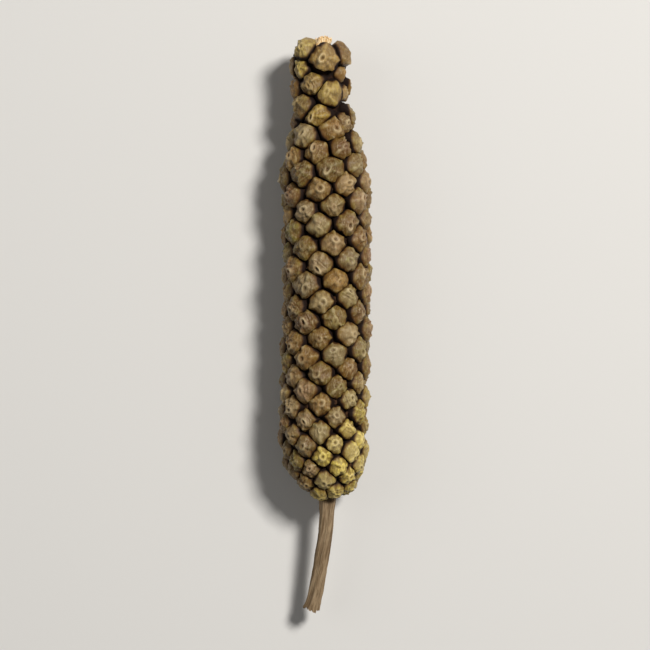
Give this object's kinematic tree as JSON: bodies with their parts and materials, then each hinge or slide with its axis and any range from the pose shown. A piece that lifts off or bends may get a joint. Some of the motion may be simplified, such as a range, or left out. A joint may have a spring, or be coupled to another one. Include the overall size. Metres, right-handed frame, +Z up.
{
  "type": "dried long pepper",
  "caption": "Dried long pepper spice: a slim spike of small round berries packed in spiral rows, with its short stalk, lying on its side.",
  "frame": {"origin": "on the resting surface, under the middle of the part's box", "axes": "+Z up from the resting surface, +Y along the spike towards its slim tip, the stalk at -Y"},
  "size_m": [0.0067, 0.0401, 0.0062],
  "materials": {
    "berries": "dry wrinkled berry skin, olive brown to grey brown, satin on the tops, near black in the creases",
    "stalk": "dry fibrous stem, grey tan with fine lengthways ridges, matt",
    "axis_end": "pale cream broken plant tissue, matt"
  },
  "bodies": {
    "root": {"spike": "berries", "stalk": "stalk", "axis_end": "axis_end"}
  },
  "joints": []
}
